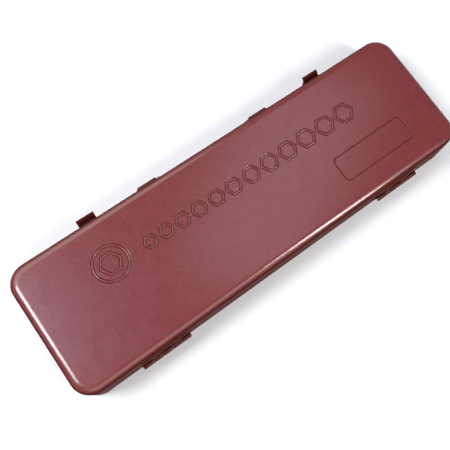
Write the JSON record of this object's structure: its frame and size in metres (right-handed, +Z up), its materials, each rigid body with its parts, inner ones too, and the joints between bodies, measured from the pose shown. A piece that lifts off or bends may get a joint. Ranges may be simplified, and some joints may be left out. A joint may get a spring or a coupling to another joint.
{
  "type": "socket set case",
  "caption": "Flat pressed-steel socket set case with a hinged lid, two snap hasps, a wire carrying handle and a graduated socket rack inside.",
  "frame": {"origin": "centre of the flat underside of the base pan", "axes": "+X along the length, -Y towards the front with hasps and handle, +Z up"},
  "size_m": [0.4, 0.1351, 0.0504],
  "materials": {
    "case_paint": "semi-gloss red-brown stoving enamel with a slight orange peel",
    "hardware_paint": "the same enamel on riveted hardware, worn a little at the edges",
    "rack_paint": "thinner satin coat of the same enamel",
    "pin_steel": "bare drawn steel pin ends"
  },
  "bodies": {
    "base": {"base_pan": "case_paint", "socket_rack": "rack_paint", "bay_divider": "rack_paint", "tool_rest_left": "rack_paint", "tool_rest_right": "rack_paint", "hinge_base_leaf_left": "hardware_paint", "hinge_base_leaf_right": "hardware_paint", "hinge_pin_left": "pin_steel", "hinge_pin_right": "pin_steel", "latch_plate_left": "hardware_paint", "latch_plate_right": "hardware_paint", "latch_pin_left": "pin_steel", "latch_pin_right": "pin_steel", "handle_bracket_left": "hardware_paint", "handle_bracket_right": "hardware_paint"},
    "lid": {"lid_shell": "case_paint", "hinge_lid_leaf_left": "hardware_paint", "hinge_lid_leaf_right": "hardware_paint", "latch_keeper_left": "hardware_paint", "latch_keeper_right": "hardware_paint"},
    "latch_left": {"latch_hasp_left": "hardware_paint"},
    "latch_right": {"latch_hasp_right": "hardware_paint"},
    "handle": {"handle_bail": "hardware_paint"}
  },
  "joints": [
    {"name": "lid_hinge", "type": "hinge", "parent": "base", "child": "lid", "pos_m": [0, 0.0636, 0.028], "axis": [-1, 0, 0], "range_deg": [0, 180]},
    {"name": "latch_left_hinge", "type": "hinge", "parent": "base", "child": "latch_left", "pos_m": [0.1206, -0.0631, 0.02], "axis": [1, 0, 0], "range_deg": [-7, 133]},
    {"name": "latch_right_hinge", "type": "hinge", "parent": "base", "child": "latch_right", "pos_m": [-0.1206, -0.0631, 0.02], "axis": [1, 0, 0], "range_deg": [-7, 133]},
    {"name": "handle_swing", "type": "hinge", "parent": "base", "child": "handle", "pos_m": [0, -0.06505, 0.0232], "axis": [-1, 0, 0], "range_deg": [0, 180]}
  ]
}
